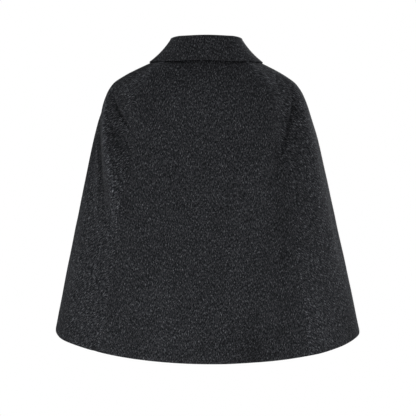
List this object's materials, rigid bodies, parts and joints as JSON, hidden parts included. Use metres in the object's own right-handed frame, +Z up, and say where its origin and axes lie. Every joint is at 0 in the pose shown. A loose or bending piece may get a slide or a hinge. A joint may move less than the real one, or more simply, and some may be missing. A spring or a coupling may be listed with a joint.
{
  "type": "cape coat",
  "caption": "Hip-length cape coat of brushed dark wool with rounded shoulders, long curved seams, a flared body and a turned-down collar, filled out as worn.",
  "frame": {"origin": "middle of the neck opening, level with the cloth beside the neck, where the wearer's neck and shoulders carry the coat", "axes": "+Z up, -Y the way the wearer faces, +X the wearer's left"},
  "size_m": [0.7077, 0.4129, 0.7204],
  "materials": {
    "wool": "brushed charcoal melange wool, matt with a soft nap",
    "horn": "polished black horn"
  },
  "bodies": {
    "root": {"back": "wool", "side_left": "wool", "side_right": "wool", "front_left": "wool", "front_right": "wool", "collar": "wool", "button_1": "horn", "button_2": "horn", "button_3": "horn", "button_4": "horn", "button_5": "horn"}
  },
  "joints": []
}
